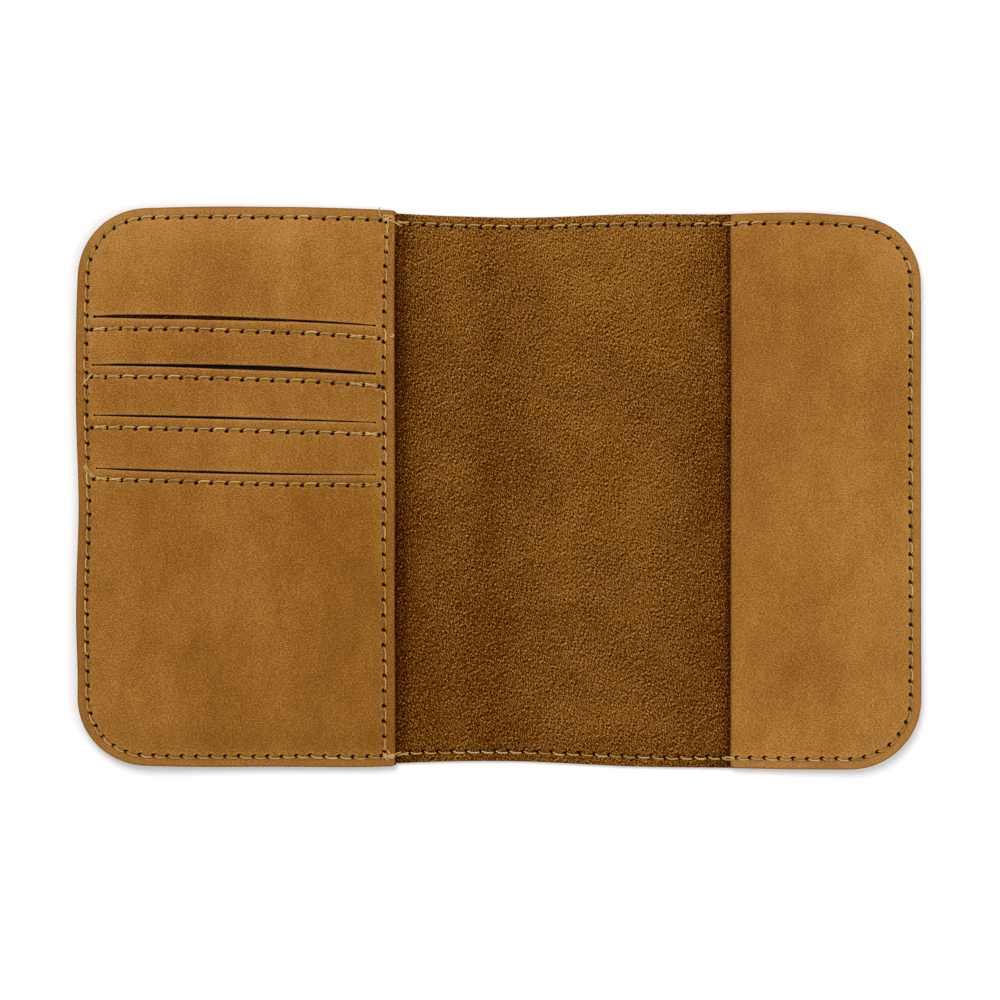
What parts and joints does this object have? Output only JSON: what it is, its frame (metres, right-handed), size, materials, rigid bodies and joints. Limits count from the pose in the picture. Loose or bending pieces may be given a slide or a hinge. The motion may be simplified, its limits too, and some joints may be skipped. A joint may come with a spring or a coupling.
{
  "type": "notebook cover",
  "caption": "Soft leather cover that folds round a pocket notebook, with card slits in one inner panel and a plain flap opposite to hold the notebook's boards.",
  "frame": {"origin": "middle of the underside, with the cover lying open and flat on its grain side", "axes": "+X from the card panel to the flap, +Y up the page towards the first card slit, +Z out of the inside face"},
  "size_m": [0.262, 0.174, 0.0058],
  "materials": {
    "cover_leather": "nubuck grain side out, brown suede flesh side in",
    "panel_leather": "matte tan nubuck",
    "backing_leather": "thin brown suede",
    "lining_fabric": "plain woven lining",
    "thread": "twisted khaki sewing thread"
  },
  "bodies": {
    "back": {"cover_back": "cover_leather", "notebook_flap": "panel_leather", "perimeter_needle_thread_back": "thread", "perimeter_bobbin_thread_back": "thread"},
    "spine": {"cover_spine": "cover_leather", "perimeter_needle_thread_spine": "thread", "perimeter_bobbin_thread_spine": "thread"},
    "front": {"cover_front": "cover_leather", "pocket_backing": "backing_leather", "card_panel": "panel_leather", "pocket_lining_1": "lining_fabric", "pocket_lining_2": "lining_fabric", "pocket_lining_3": "lining_fabric", "pocket_lining_4": "lining_fabric", "slot_thread_1": "thread", "slot_thread_2": "thread", "slot_thread_3": "thread", "slot_thread_4": "thread", "panel_edge_needle_thread": "thread", "panel_edge_bobbin_thread": "thread", "perimeter_needle_thread_front": "thread", "perimeter_bobbin_thread_front": "thread"}
  },
  "joints": [
    {"name": "back_fold", "type": "hinge", "parent": "back", "child": "spine", "pos_m": [0.007, 0, 0.0018], "axis": [0, 1, 0], "range_deg": [0, 90]},
    {"name": "front_fold", "type": "hinge", "parent": "spine", "child": "front", "pos_m": [-0.007, 0, 0.0018], "axis": [0, 1, 0], "range_deg": [0, 90]}
  ]
}
